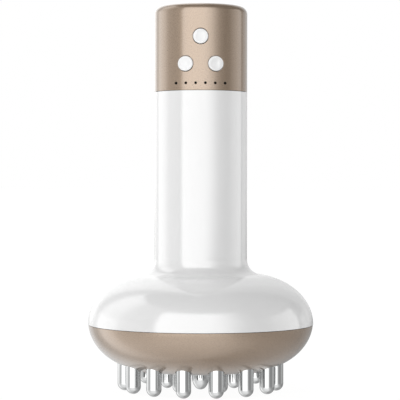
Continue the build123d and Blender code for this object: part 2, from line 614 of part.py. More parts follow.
def make_charging_socket():
    """Flat rounded socket shell with a tongue inside, open to the back."""
    back, front = CHARGE_Y + CHARGE_BOARD_T, HANDLE_R - SOCKET_INSET
    plane = Plane(origin=(0, back, SOCKET_Z), x_dir=(1, 0, 0), z_dir=(0, 1, 0))
    socket = extrude(plane * SlotOverall(2 * SOCKET_HALF_W, 2 * SOCKET_HALF_H),
                     amount=front - back)
    half_w, half_h = SOCKET_HALF_W - SOCKET_WALL, SOCKET_HALF_H - SOCKET_WALL
    mouth = extrude(plane * SlotOverall(2 * half_w, 2 * half_h), amount=front - back)
    socket -= Pos(0, SOCKET_FLOOR, 0) * mouth
    return socket + block(-TONGUE_HALF_W, TONGUE_HALF_W, back + SOCKET_FLOOR - FIT,
                          front - TONGUE_INSET, SOCKET_Z - TONGUE_HALF_T,
                          SOCKET_Z + TONGUE_HALF_T)


def make_cap():
    """Coloured cap: button bores with collars, light holes, board posts and plug."""
    top, roof = TOTAL_H, TOTAL_H - CAP_WALL
    bend = CAP_RIM * (1 - math.sqrt(0.5))
    inner_rim = CAP_RIM - CAP_WALL
    inner_bend = inner_rim * (1 - math.sqrt(0.5))
    plug_r, plug_in = BORE_R - FIT, BORE_R - PLUG_WALL
    cap = turned([
        *chain([(plug_in, CRADLE_TOP), (plug_r, CRADLE_TOP), (plug_r, CAP_BOTTOM_Z),
                (HANDLE_R, CAP_BOTTOM_Z), (HANDLE_R, top - CAP_RIM)]),
        ThreePointArc((HANDLE_R, top - CAP_RIM), (HANDLE_R - bend, top - bend),
                      (HANDLE_R - CAP_RIM, top)),
        *chain([(HANDLE_R - CAP_RIM, top), (0, top), (0, roof),
                (CAP_CAVITY_R - inner_rim, roof)]),
        ThreePointArc((CAP_CAVITY_R - inner_rim, roof),
                      (CAP_CAVITY_R - inner_bend, roof - inner_bend),
                      (CAP_CAVITY_R, roof - inner_rim)),
        *chain([(CAP_CAVITY_R, roof - inner_rim), (CAP_CAVITY_R, CAP_SEAM_Z + PLUG_TAPER[1]),
                (plug_in, CAP_SEAM_Z + PLUG_TAPER[0]), (plug_in, CRADLE_TOP)]),
    ])
    skin = rod_z(0, 0, CAP_SEAM_Z, roof, HANDLE_R - SKIN)
    for x, rise in BUTTON_PLACES.values():
        cap += rod_y(x, CAP_SEAM_Z + rise, -HANDLE_R, COLLAR_Y, COLLAR_R) & skin
    for x, z in BOARD_SCREW_PLACES:
        cap += rod_y(x, z, -HANDLE_R, BOARD_Y, BOARD_POST_R) & skin
    for x, rise in BUTTON_PLACES.values():
        z = CAP_SEAM_Z + rise
        cap -= rod_y(x, z, -HANDLE_R - CUT, COLLAR_Y + CUT, BUTTON_R + FIT)
        cap -= rod_y(x, z, -HANDLE_R - CUT, COLLAR_Y - RING_END, BUTTON_R + BUTTON_RING)
    for x in DOT_XS:
        cap -= rod_y(x, DOT_Z, -HANDLE_R - CUT, COLLAR_Y, DOT_R)
    for x, z in BOARD_SCREW_PLACES:
        cap -= rod_y(x, z, BOARD_Y - BOARD_BITE - EASE, BOARD_Y + CUT, SMALL_SCREW_R + FIT)
    return cap


def make_button(place):
    """Dished button with a stop flange and a short stem behind it."""
    x, z = place[0], CAP_SEAM_Z + place[1]
    face_r = HANDLE_R + BUTTON_PROUD
    button = rod_y(x, z, -face_r - 2 * CUT, COLLAR_Y, BUTTON_R)
    button &= rod_z(0, 0, z - 2 * BUTTON_R, z + 2 * BUTTON_R, face_r)
    rim = button.faces().sort_by(Axis.Y)[0].edges()
    button = fillet(rim, BUTTON_ROUND)
    ball_r = (DISH_R ** 2 + DISH_DEPTH ** 2) / (2 * DISH_DEPTH)
    out = math.asin(x / face_r)
    away = face_r + ball_r - DISH_DEPTH
    button -= Pos(away * math.sin(out), -away * math.cos(out), z) * Sphere(ball_r)
    button += rod_y(x, z, COLLAR_Y, COLLAR_Y + FLANGE_T, FLANGE_R)
    return button + rod_y(x, z, COLLAR_Y, BOARD_Y - SWITCH_T - PLUNGER_OUT, STEM_R)


def make_plunger(place):
    """Moving part of a push switch, against the button's stem."""
    front = BOARD_Y - SWITCH_T
    return rod_y(place[0], CAP_SEAM_Z + place[1], front - PLUNGER_OUT, front + PLUNGER_IN,
                 PLUNGER_R)


def make_switch(place):
    """Square body of a push switch on the control board."""
    x, z = place[0], CAP_SEAM_Z + place[1]
    half, front = SWITCH_W / 2, BOARD_Y - SWITCH_T
    body = block(x - half, x + half, front, BOARD_Y, z - half, z + half)
    return body - rod_y(x, z, front - CUT, front + PLUNGER_IN + BUTTON_TRAVEL + EASE,
                        PLUNGER_R + FIT)


def make_control_board():
    board = block(-BOARD_HALF_W, BOARD_HALF_W, BOARD_Y, BOARD_BACK_Y, BOARD_Z0, BOARD_Z1)
    for x, z in BOARD_SCREW_PLACES:
        board -= rod_y(x, z, BOARD_Y - CUT, BOARD_BACK_Y + CUT, SMALL_SCREW_R + EASE)
    return board


def make_board_screws():
    screw = Rot(90, 0, 0) * make_screw(SMALL_SCREW_R, BOARD_T + BOARD_BITE, SMALL_HEAD_R,
                                       SMALL_HEAD_H)
    return [Pos(x, BOARD_BACK_Y, z) * screw for x, z in BOARD_SCREW_PLACES]


def make_board_chip():
    z = (BOARD_Z0 + BOARD_Z1) / 2
    return block(-CHIP_HALF, CHIP_HALF, BOARD_BACK_Y, BOARD_BACK_Y + CHIP_T, z - CHIP_HALF,
                 z + CHIP_HALF)


def make_indicator_leds():
    return [block(x - PIXEL_HALF_W, x + PIXEL_HALF_W, BOARD_Y - PIXEL_T, BOARD_Y,
                  DOT_Z - PIXEL_HALF_H, DOT_Z + PIXEL_HALF_H) for x in DOT_XS]


def make_light_pipe():
    """Comb of short rods behind the light holes, on two legs from the board."""
    back = COLLAR_Y + PIPE_T
    bar = block(-PIPE_HALF_W, PIPE_HALF_W, COLLAR_Y, back, DOT_Z - PIPE_HALF_H,
                DOT_Z + PIPE_HALF_H)
    pipe = bar & rod_z(0, 0, DOT_Z - 2 * PIPE_HALF_H, DOT_Z + 2 * PIPE_HALF_H,
                       CAP_CAVITY_R - EASE)
    for x in DOT_XS:
        tip = math.sqrt(HANDLE_R ** 2 - x ** 2) - DOT_RECESS
        pipe += rod_y(x, DOT_Z, -tip, back, DOT_R - DOT_FIT)
    for x in (-PIPE_LEG_X, PIPE_LEG_X):
        pipe += rod_y(x, DOT_Z, COLLAR_Y, BOARD_Y, PIPE_LEG_R)
    return pipe


def write_all():
    """Write every node of the massager."""
    os.makedirs("parts", exist_ok=True)
    save("body_shell", make_body_shell())
    save("lower_shell", make_lower_shell())
    save("cap", make_cap())
    save("head_seal", make_head_seal())
    save("cap_seal", make_cap_seal())
    save("pin_plate", make_pin_plate())
    save("pins_outer", *ring_of(make_pin(PIN_R, PIN_R), OUTER_RING_R, OUTER_ANGLES))
    save("pins_inner", *ring_of(make_pin(INNER_PIN_R, INNER_PIN_R), INNER_RING_R,
                                INNER_ANGLES))
    save("pin_centre", make_pin(CENTRE_PIN_R, CENTRE_PIN_TIP))
    nut = make_nut()
    save("pin_nuts", *[Pos(x, y, 0) * nut for x, y, _ in pin_places()])
    save("plate_screws", *make_plate_screws())
    save("heater_ring", make_heater_ring())
    save("temperature_sensor", make_temperature_sensor())
    save("red_lenses", *ring_of(make_lens(), MIDDLE_RING_R, LENS_ANGLES))
    save("red_leds", *ring_of(make_red_led(), MIDDLE_RING_R, LENS_ANGLES))
    save("lamp_boards", *ring_of(make_lamp_board(), MIDDLE_RING_R, LENS_ANGLES))
    save("motor_bracket", make_motor_bracket())
    save("motor_clamp", make_motor_clamp())
    save("motor_screws", *make_motor_screws())
    save("motor_can", make_motor_can())
    save("motor_shaft", make_motor_shaft())
    save("motor_weight", make_motor_weight())
    save("motor_leads", *make_motor_leads())
    save("battery_cradle", make_battery_cradle())
    save("battery_cell", make_battery_cell())
    save("battery_tabs", *make_battery_tabs())
    save("battery_leads", *make_battery_leads())
    save("charging_board", make_charging_board())
    save("charging_screws", *make_charging_screws())
    save("charging_socket", make_charging_socket())
    save("control_board", make_control_board())
    save("board_screws", *make_board_screws())
    save("board_chip", make_board_chip())
    save("tact_switches", *[make_switch(place) for place in BUTTON_PLACES.values()])
    save("indicator_leds", *make_indicator_leds())
    save("light_pipe", make_light_pipe())
    for name, place in BUTTON_PLACES.items():
        save(f"button_{name}", make_button(place))
        save(f"plunger_{name}", make_plunger(place))


write_all()
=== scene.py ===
# %% [markdown]
# The massager is already modelled to size, piece by piece. Loading it first gives every
# later step something true to measure, so nothing is fitted by eye. All lengths are in
# metres in the model's own frame: z runs up the grip and the buttons face -y. Every shape
# is right as it comes, so this lesson is about finishes, the camera and the light.

# %% Load the modelled pieces
import json
import math
import bpy
from mathutils import Matrix, Vector

MM = 0.001
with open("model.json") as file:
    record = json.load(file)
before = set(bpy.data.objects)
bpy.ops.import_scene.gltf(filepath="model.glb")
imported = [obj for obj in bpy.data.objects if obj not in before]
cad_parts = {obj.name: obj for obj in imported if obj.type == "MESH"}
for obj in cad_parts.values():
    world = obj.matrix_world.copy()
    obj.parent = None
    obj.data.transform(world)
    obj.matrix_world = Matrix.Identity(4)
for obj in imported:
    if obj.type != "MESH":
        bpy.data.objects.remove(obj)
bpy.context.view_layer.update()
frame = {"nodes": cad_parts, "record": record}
pieces = frame["nodes"]
print("pieces:", len(pieces))

# %% [markdown]
# A finish is a small network of nodes around one shader. What is the same all over a
# surface is set on the shader itself, and only what changes from place to place gets
# nodes. Every pattern reads the piece's own coordinates in metres, so a grain of a tenth of
# a millimetre has that size on every piece and moves with it.


# %% A finish to start from, and coordinates for its patterns
def start_finish(name, colour, roughness, **settings):
    """A material with one shader set to plain values; returns it with its parts."""
    material = bpy.data.materials.new(name)
    material.use_nodes = True
    tree = material.node_tree
    shader = tree.nodes["Principled BSDF"]
    shader.inputs["Base Color"].default_value = (*colour, 1.0)
    shader.inputs["Roughness"].default_value = roughness
    for socket, value in settings.items():
        shader.inputs[socket.replace("_", " ")].default_value = value
    material.diffuse_color = (*colour, 1.0)
    return material, tree, shader


def own_coordinates(tree, stretch=(1.0, 1.0, 1.0), turned=(0.0, 0.0, 0.0)):
    """The piece's own coordinates, stretched or turned for a pattern that runs one way."""
    coordinates = tree.nodes.new("ShaderNodeTexCoord")
    mapping = tree.nodes.new("ShaderNodeMapping")
    mapping.inputs["Scale"].default_value = stretch
    mapping.inputs["Rotation"].default_value = turned
    tree.links.new(coordinates.outputs["Object"], mapping.inputs["Vector"])
    return mapping.outputs["Vector"]


print("start_finish and own_coordinates are ready")

# %% [markdown]
# Most surfaces differ from place to place in a cloudy way: a little lighter here, a little
# duller there. Layered noise gives such clouds. A map range then squeezes them to the small
# span that a real surface shows, and a mix turns them into two near shades of one colour.


# %% Clouds, their span and their colours
def clouds(tree, vector, size_mm, detail=2.0):
    """Soft noise whose blobs are about size_mm across, from 0 to 1."""
    noise = tree.nodes.new("ShaderNodeTexNoise")
    noise.inputs["Scale"].default_value = 1.0 / (size_mm * MM)
    noise.inputs["Detail"].default_value = detail
    tree.links.new(vector, noise.inputs["Vector"])
    return noise.outputs["Fac"]


def span(tree, value, low, high, start=0.3, end=0.7):
    """Squeeze a pattern so that it runs from low to high."""
    squeeze = tree.nodes.new("ShaderNodeMapRange")
    squeeze.inputs["From Min"].default_value = start
    squeeze.inputs["From Max"].default_value = end
    squeeze.inputs["To Min"].default_value = low
    squeeze.inputs["To Max"].default_value = high
    tree.links.new(value, squeeze.inputs["Value"])
    return squeeze.outputs["Result"]


def shades(tree, value, dark, light):
    """Colour that goes from dark to light with a pattern. Either can be a pattern itself."""
    mix = tree.nodes.new("ShaderNodeMix")
    mix.data_type = "RGBA"
    for socket, colour in zip([s for s in mix.inputs if s.type == "RGBA"], (dark, light)):
        if isinstance(colour, tuple):
            socket.default_value = (*colour, 1.0)
        else:
            tree.links.new(colour, socket)
    tree.links.new(value, mix.inputs["Factor"])
    return [s for s in mix.outputs if s.type == "RGBA"][0]


def around(colour, share):
    """The same colour a share darker and a share lighter."""
    return tuple(c * (1 - share) for c in colour), tuple(c * (1 + share) for c in colour)


print("around white:", around((0.8, 0.8, 0.8), 0.02))

# %% [markdown]
# Nearly every finish uses a pattern for these two things: to tint the surface and to make it
# duller in places. Both are one line with a helper each. Roughness is 0 for a mirror and 1
# for chalk.


# %% Tint and dullness that follow a pattern
def tint(tree, shader, pattern, dark, light):
    """Colour the surface from dark to light with a pattern."""
    tree.links.new(shades(tree, pattern, dark, light), shader.inputs["Base Color"])


def dull(tree, shader, pattern, low, high, start=0.3, end=0.7):
    """Make the surface's roughness run from low to high with a pattern."""
    tree.links.new(span(tree, pattern, low, high, start, end), shader.inputs["Roughness"])


print("tint and dull are ready")

# %% [markdown]
# Fine relief, such as moulded texture or the skin of sprayed lacquer, is too small to model.
# A bump node turns a pattern into it, with its height in real millimetres. Relief finer than
# one dot of a picture would only sparkle, so the glossy pieces get long, very low waves.


# %% Relief
def relief(tree, shader, value, height_mm, sockets=("Normal",)):
    """Fine surface relief, height_mm from its lowest to its highest."""
    bump = tree.nodes.new("ShaderNodeBump")
    bump.inputs["Distance"].default_value = height_mm * MM
    bump.inputs["Strength"].default_value = 1.0
    tree.links.new(value, bump.inputs["Height"])
    for socket in sockets:
        tree.links.new(bump.outputs["Normal"], shader.inputs[socket])


print("relief is ready, one unit of height is", MM, "m")

# %% [markdown]
# The grip and the upper half of the head are one white moulding under clear lacquer. The
# white itself looks even and nearly matt, and the lacquer over it gives the long sharp
# reflections down the grip. A shader with a coat has these two layers, which is nearer to
# the real thing than one glossy white. The photograph's reflections are stronger than real
# lacquer's index of 1.5 gives, so the coat's index is raised. Lacquer dries with a barely
# uneven skin, so the long low waves are put in the coat alone, and the faint clouds in the
# white below it.

# %% White lacquer of the grip and dome
WHITE = (0.80, 0.80, 0.80)
WHITE_CLOUD_MM = 14.0
WAVE_MM, WAVE_HEIGHT_MM = 5.0, 0.0006


def lacquer_skin(tree, shader, vector):
    """Long low waves in the clear coat alone."""
    waves = clouds(tree, vector, WAVE_MM, detail=0.0)
    relief(tree, shader, waves, WAVE_HEIGHT_MM, ("Coat Normal",))


def white_lacquer():
    material, tree, shader = start_finish(
        "white_lacquer", WHITE, roughness=0.4, Coat_Weight=1.0, Coat_IOR=1.9,
        Coat_Roughness=0.03, Specular_IOR_Level=0.15)
    vector = own_coordinates(tree)
    soft = clouds(tree, vector, WHITE_CLOUD_MM)
    tint(tree, shader, soft, *around(WHITE, 0.015))
    dull(tree, shader, soft, 0.36, 0.46)
    lacquer_skin(tree, shader, vector)
    return material


finishes = {"white_shell": white_lacquer()}
print("finish:", finishes["white_shell"].name)

# %% [markdown]
# The cap and the lower half of the head are sprayed with champagne metallic: tiny metal
# flakes in a warm tinted layer, under the same clear lacquer. Each flake lies at its own
# slight tilt, so the layer shines wider than a mirror and sparkles a little close up. Cells
# a tenth of a millimetre across, each with its own value, stand for the flakes and change
# both the colour and the gloss. Part metal and part paint keeps it pale in the shadows.


# %% Champagne metallic of the cap and the lower shell
def cells(tree, vector, size_mm):
    """Patches about size_mm across, each with its own even value from 0 to 1."""
    patches = tree.nodes.new("ShaderNodeTexVoronoi")
    patches.inputs["Scale"].default_value = 1.0 / (size_mm * MM)
    tree.links.new(vector, patches.inputs["Vector"])
    split = tree.nodes.new("ShaderNodeSeparateColor")
    tree.links.new(patches.outputs["Color"], split.inputs["Color"])
    return split.outputs["Red"]


CHAMPAGNE = (0.32, 0.235, 0.165)
FLAKE_MM = 0.1


def champagne_metallic():
    material, tree, shader = start_finish(
        "champagne_metallic", CHAMPAGNE, roughness=0.3, Metallic=0.45, Coat_Weight=1.0,
        Coat_IOR=1.6, Coat_Roughness=0.04)
    vector = own_coordinates(tree)
    flakes = cells(tree, vector, FLAKE_MM)
    tint(tree, shader, flakes, *around(CHAMPAGNE, 0.05))
    dull(tree, shader, flakes, 0.26, 0.34, start=0.0, end=1.0)
    lacquer_skin(tree, shader, vector)
    return material


finishes["champagne_shell"] = champagne_metallic()
print("finish:", finishes["champagne_shell"].name)

# %% [markdown]
# The massage pins are turned, polished and plated with bright chrome. Plating is all metal
# and nearly a mirror, so its look comes from what it reflects. What remains of the turning
# is a trace of fine lines round each pin, which noise squeezed flat gives, and fingers
# leave it a little duller in soft patches.

# %% Chrome of the pins
CHROME = (0.50, 0.505, 0.505)
CHROME_SHADES = (0.48, 0.485, 0.485), (0.52, 0.525, 0.525)
FINE_LINES, LINE_MM, PATCH_MM = (1.0, 1.0, 40.0), 9.0, 3.0


def polished_chrome():
    material, tree, shader = start_finish(
        "polished_chrome", CHROME, roughness=0.07, Metallic=1.0)
    lines = clouds(tree, own_coordinates(tree, FINE_LINES), LINE_MM)
    patches = clouds(tree, own_coordinates(tree), PATCH_MM)
    worn = tree.nodes.new("ShaderNodeMath")
    worn.operation = "MULTIPLY"
    tree.links.new(lines, worn.inputs[0])
    tree.links.new(patches, worn.inputs[1])
    dull(tree, shader, worn.outputs[0], 0.05, 0.11, start=0.12, end=0.4)
    tint(tree, shader, patches, *CHROME_SHADES)
    return material


finishes["pin_chrome"] = polished_chrome()
print("finish:", finishes["pin_chrome"].name)

# %% [markdown]
# The three buttons are moulded white without lacquer. Their tool is polished, so they shine,
# but softer than the grip does, and their bare plastic is a shade lighter. The thumb's even
# rubbing shows as gentle clouds in the gloss.

# %% White plastic of the buttons
BUTTON_WHITE = (0.91, 0.91, 0.91)
RUBBED_MM, SKIN_MM, SKIN_HEIGHT_MM = 2.2, 0.8, 0.0002


def button_plastic():
    material, tree, shader = start_finish("button_plastic", BUTTON_WHITE, roughness=0.2)
    vector = own_coordinates(tree)
    rubbed = clouds(tree, vector, RUBBED_MM)
    tint(tree, shader, rubbed, *around(BUTTON_WHITE, 0.01))
    dull(tree, shader, rubbed, 0.14, 0.26)
    relief(tree, shader, clouds(tree, vector, SKIN_MM, detail=0.0), SKIN_HEIGHT_MM)
    return material


finishes["button_white"] = button_plastic()
print("finish:", finishes["button_white"].name)

# %% [markdown]
# Two thin rubber rings fill the seams and show as the dark lines around the head and under
# the cap. Rubber is dull and slightly dusty: a rough black with a pale mottle and a fine
# pebbled skin.

# %% Rubber of the seals
SEAL_BLACK, DUSTY_BLACKS = (0.02, 0.02, 0.02), ((0.016, 0.016, 0.016), (0.03, 0.03, 0.029))
DUST_MM, PEBBLE_MM, PEBBLE_HEIGHT_MM = 1.2, 0.15, 0.01


def seal_rubber():
    material, tree, shader = start_finish(
        "seal_rubber", SEAL_BLACK, roughness=0.7, Specular_IOR_Level=0.3)
    vector = own_coordinates(tree)
    dust = clouds(tree, vector, DUST_MM, detail=4.0)
    tint(tree, shader, dust, *DUSTY_BLACKS)
    dull(tree, shader, dust, 0.6, 0.85)
    relief(tree, shader, cells(tree, vector, PEBBLE_MM), PEBBLE_HEIGHT_MM)
    return material


finishes["seal_rubber"] = seal_rubber()
print("finish:", finishes["seal_rubber"].name)

# %% [markdown]
# Smoked plastic rods bring the six small lights to the skin. They're so dark that unlit
# they look like black dots, and nothing is seen through them. Red windows under the head
# pass about half of the light that falls on them. One helper makes both, with the share
# that passes and the shine of the surface. Real mouldings show faint flow lines, here
# stretched clouds that shift the shade.

# %% Clear coloured plastic of the light rods and windows
FLOW_MM, FLOW_STRETCH = 1.4, (1.0, 0.25, 1.0)


def clear_plastic(name, colour, passes, roughness, shine=0.5):
    """Coloured plastic that passes a share of the light."""
    material, tree, shader = start_finish(
        name, colour, roughness, IOR=1.49, Transmission_Weight=passes,
        Specular_IOR_Level=shine)
    flow = clouds(tree, own_coordinates(tree, FLOW_STRETCH), FLOW_MM)
    tint(tree, shader, flow, *around(colour, 0.1))
    dull(tree, shader, flow, roughness * 0.8, roughness * 1.3)
    return material


finishes["light_pipe_smoke"] = clear_plastic(
    "smoked_plastic", (0.004, 0.0035, 0.003), passes=0.0, roughness=0.4, shine=0.03)
finishes["lens_red"] = clear_plastic(
    "red_window", (0.50, 0.02, 0.018), passes=0.45, roughness=0.07)
print("clear plastics:", finishes["light_pipe_smoke"].name, finishes["lens_red"].name)

# %% [markdown]
# Steel shows how it was made. Sheet is rolled, so it has long streaks one way. Screws and
# nuts are plated with zinc, which is mottled and slightly blue. A drawn motor can has streaks
# along its length, and a pressed and sintered weight is pitted. One helper takes the
# direction and size of the streaks, and the colour and gloss of each metal. Pits are a
# twentieth as deep as they are wide.

# %% Bare and plated metals
DEPTH_SHARE = 0.05


def worked_metal(name, colour, roughness, stretch, streak_mm, pits_mm):
    """Metal whose streaks or mottle follow how it was worked. With 0 it has no pits."""
    material, tree, shader = start_finish(name, colour, roughness, Metallic=1.0)
    streaks = clouds(tree, own_coordinates(tree, stretch), streak_mm, detail=3.0)
    tint(tree, shader, streaks, *around(colour, 0.04))
    dull(tree, shader, streaks, roughness * 0.9, roughness * 1.15)
    if pits_mm:
        pits = cells(tree, own_coordinates(tree), pits_mm)
        relief(tree, shader, pits, pits_mm * DEPTH_SHARE)
    return material


EVEN, ALONG_X, ALONG_Y = (1, 1, 1), (0.05, 1, 1), (1, 0.05, 1)
for slot, name, colour, roughness, stretch, streak_mm, pits_mm in (
        ("fastener_steel", "zinc_plated_steel", (0.52, 0.54, 0.57), 0.32, EVEN, 0.9, 0.0),
        ("clamp_steel", "spring_strip", (0.56, 0.56, 0.57), 0.3, ALONG_Y, 0.4, 0.0),
        ("motor_steel", "drawn_can", (0.50, 0.51, 0.52), 0.28, ALONG_X, 0.5, 0.0),
        ("weight_steel", "pressed_powder_weight", (0.33, 0.33, 0.34), 0.5, EVEN, 0.6, 0.2),
        ("tab_nickel", "nickel_strip", (0.62, 0.60, 0.55), 0.25, ALONG_X, 0.3, 0.0),
        ("socket_steel", "pressed_socket", (0.58, 0.58, 0.59), 0.27, ALONG_Y, 0.3, 0.0)):
    finishes[slot] = worked_metal(name, colour, roughness, stretch, streak_mm, pits_mm)
print("finishes so far:", len(finishes))

# %% [markdown]
# The plate that carries the pins is an aluminium disc faced on a lathe. The tool leaves
# rings a third of a millimetre apart around its middle, which is the massager's own axis,
# so a ring pattern about the origin gives them in the right place.

# %% Turned aluminium of the pin plate
PLATE_COLOUR, PLATE_RING_MM, CUT_DEPTH_MM = (0.62, 0.63, 0.65), 0.35, 0.003


def rings(tree, vector, pitch_mm):
    """Rings around the z axis, pitch_mm apart, from 0 to 1."""
    wave = tree.nodes.new("ShaderNodeTexWave")
    wave.wave_type = "RINGS"
    wave.rings_direction = "Z"
    wave.inputs["Scale"].default_value = math.pi / 10 / (pitch_mm * MM)
    wave.inputs["Distortion"].default_value = 0.4
    tree.links.new(vector, wave.inputs["Vector"])
    return wave.outputs["Fac"]


def turned_aluminium():
    material, tree, shader = start_finish(
        "turned_aluminium", PLATE_COLOUR, roughness=0.3, Metallic=1.0)
    cuts = rings(tree, own_coordinates(tree), PLATE_RING_MM)
    tint(tree, shader, cuts, *around(PLATE_COLOUR, 0.05))
    dull(tree, shader, cuts, 0.24, 0.38, start=0.0, end=1.0)
    relief(tree, shader, cuts, CUT_DEPTH_MM)
    return material


finishes["plate_aluminium"] = turned_aluminium()
print("finish:", finishes["plate_aluminium"].name)

# %% [markdown]
# The heater is a printed copper track between two layers of amber film, laid in rings. The
# film is thin and glossy. The track shows through it as bright coppery rings that stand a
# little proud, with darker brown film between, so the same ring pattern, sharpened to lines,
# mixes the two colours.

# %% Amber film of the heater
TRACK_RING_MM, TRACK_HEIGHT_MM = 1.1, 0.03
AMBER = (0.42, 0.17, 0.03)
FILM_BROWN, COPPER_RING = (0.22, 0.075, 0.018), (0.47, 0.20, 0.035)


def heater_film():
    material, tree, shader = start_finish(
        "amber_heater_film", AMBER, roughness=0.25, Coat_Weight=0.4)
    waves = rings(tree, own_coordinates(tree), TRACK_RING_MM)
    track = span(tree, waves, 0.0, 1.0, start=0.45, end=0.6)
    tint(tree, shader, track, FILM_BROWN, COPPER_RING)
    dull(tree, shader, track, 0.35, 0.22, start=0.0, end=1.0)
    relief(tree, shader, track, TRACK_HEIGHT_MM)
    return material


finishes["heater_film"] = heater_film()
print("finish:", finishes["heater_film"].name)

# %% [markdown]
# The inner mouldings are plain working plastics: the glass-filled motor bracket, the battery
# cradle, the switch bodies and their plungers. Spark-eroded tools give them a fine even
# grain. They differ only in shade, gloss and grain size, so one helper makes all four.

# %% Moulded plastics inside
GLOSS_CLOUD_MM = 3.0


def grained_plastic(name, colour, roughness, grain_mm):
    """Moulded plastic with an even grain on it and soft clouds in its gloss."""
    material, tree, shader = start_finish(name, colour, roughness)
    vector = own_coordinates(tree)
    soft = clouds(tree, vector, GLOSS_CLOUD_MM)
    tint(tree, shader, soft, *around(colour, 0.12))
    dull(tree, shader, soft, roughness * 0.85, roughness * 1.2)
    relief(tree, shader, clouds(tree, vector, grain_mm, detail=1.0), grain_mm * DEPTH_SHARE)
    return material


for slot, name, colour, roughness, grain_mm in (
        ("bracket_nylon", "glass_filled_nylon", (0.03, 0.03, 0.032), 0.5, 0.3),
        ("cradle_abs", "cradle_plastic", (0.045, 0.045, 0.048), 0.45, 0.25),
        ("switch_body", "switch_plastic", (0.012, 0.012, 0.012), 0.4, 0.15),
        ("plunger_plastic", "plunger_plastic", (0.02, 0.02, 0.02), 0.35, 0.2)):
    finishes[slot] = grained_plastic(name, colour, roughness, grain_mm)
print("finishes so far:", len(finishes))

# %% [markdown]
# Potted and moulded electronic parts are cast resin. The chip's black resin is filled with
# crushed quartz, so it has pale specks. The temperature sensor is a blue-black drop of the
# same kind. The small lights are nearly clear, with a faint yellow.

# %% Cast resins of the chip, the sensor and the lights
SPECK_MM, SPECK_HEIGHT_MM = 0.12, 0.004


def specked_resin(name, colour, speck, roughness):
    """Cast resin with scattered pale specks."""
    material, tree, shader = start_finish(name, colour, roughness)
    grains = cells(tree, own_coordinates(tree), SPECK_MM)
    specks = span(tree, grains, 0.0, 1.0, start=0.9, end=1.0)
    tint(tree, shader, specks, colour, speck)
    dull(tree, shader, specks, roughness, roughness * 0.7, start=0.0, end=1.0)
    relief(tree, shader, specks, SPECK_HEIGHT_MM)
    return material


finishes["chip_epoxy"] = specked_resin(
    "chip_resin", (0.008, 0.008, 0.009), speck=(0.05, 0.05, 0.05), roughness=0.5)
finishes["sensor_epoxy"] = specked_resin(
    "sensor_resin", (0.012, 0.016, 0.022), speck=(0.04, 0.05, 0.06), roughness=0.35)
finishes["led_epoxy"] = clear_plastic(
    "light_resin", (0.80, 0.74, 0.60), passes=0.5, roughness=0.12)
print("finishes so far:", len(finishes))

# %% [markdown]
# Circuit boards are green because of the lacquer over their copper. Where a track runs, the
# green is paler and stands a little proud. The joints of a brick pattern give straight
# tracks with square ends. Two of the boards stand upright and the lamp boards lie flat, and
# one pattern turned by 45 degrees about x serves both, because it crosses either kind.

# %% Green circuit boards
BOARD_GREEN, TRACK_GREEN = (0.006, 0.075, 0.022), (0.02, 0.16, 0.05)
TWO_BRICKS_MM, HALF_TRACK_MM, TRACK_SOFTNESS = 6.0, 0.21, 0.1
TURNED_ABOUT_X, BOARD_CLOUD_MM = math.radians(45), 2.0


def circuit_board():
    material, tree, shader = start_finish(
        "circuit_board", BOARD_GREEN, roughness=0.3, Coat_Weight=0.5)
    bricks = tree.nodes.new("ShaderNodeTexBrick")
    bricks.inputs["Scale"].default_value = 1.0 / (TWO_BRICKS_MM * MM)
    bricks.inputs["Mortar Size"].default_value = HALF_TRACK_MM / TWO_BRICKS_MM
    bricks.inputs["Mortar Smooth"].default_value = TRACK_SOFTNESS
    bricks.inputs["Color1"].default_value = (*BOARD_GREEN, 1.0)
    bricks.inputs["Color2"].default_value = (*around(BOARD_GREEN, 0.15)[0], 1.0)
    bricks.inputs["Mortar"].default_value = (*TRACK_GREEN, 1.0)
    vector = own_coordinates(tree, turned=(TURNED_ABOUT_X, 0.0, 0.0))
    tree.links.new(vector, bricks.inputs["Vector"])
    tree.links.new(bricks.outputs["Color"], shader.inputs["Base Color"])
    dull(tree, shader, clouds(tree, vector, BOARD_CLOUD_MM), 0.25, 0.36)
    relief(tree, shader, bricks.outputs["Fac"], TRACK_HEIGHT_MM)
    return material


finishes["board_green"] = circuit_board()
print("finish:", finishes["board_green"].name)

# %% [markdown]
# The leads come in pairs, one red and one black, so that nobody swaps them. Both wires of a
# pair are one piece here, but the red one always stands further from the massager's middle
# plane, so a step in the distance from that plane colours them. Soft insulation is smooth
# with a faint haze.

# %% Insulation of the leads
BLACK_WITHIN, RED_BEYOND = 12.5 * MM, 12.7 * MM
LEAD_BLACKS = (0.010, 0.010, 0.010), (0.018, 0.018, 0.018)
LEAD_RED, LEAD_REDS = (0.35, 0.01, 0.01), ((0.30, 0.008, 0.007), (0.38, 0.014, 0.012))
HAZE_MM = 1.5


def lead_insulation():
    material, tree, shader = start_finish("lead_insulation", LEAD_RED, roughness=0.4)
    vector = own_coordinates(tree)
    axes = tree.nodes.new("ShaderNodeSeparateXYZ")
    tree.links.new(vector, axes.inputs["Vector"])
    from_middle = tree.nodes.new("ShaderNodeMath")
    from_middle.operation = "ABSOLUTE"
    tree.links.new(axes.outputs["X"], from_middle.inputs[0])
    step = span(tree, from_middle.outputs[0], 0.0, 1.0, start=BLACK_WITHIN, end=RED_BEYOND)
    haze = clouds(tree, vector, HAZE_MM)
    black, red = shades(tree, haze, *LEAD_BLACKS), shades(tree, haze, *LEAD_REDS)
    tint(tree, shader, step, black, red)
    dull(tree, shader, haze, 0.34, 0.5)
    return material


finishes["lead_wire"] = lead_insulation()
print("finish:", finishes["lead_wire"].name)

# %% [markdown]
# The cell's steel can is wrapped in blue shrink film. The film is thin and glossy and pulls
# into tiny wrinkles as it shrinks, mostly around the cell, so the noise for them is squeezed
# flat.

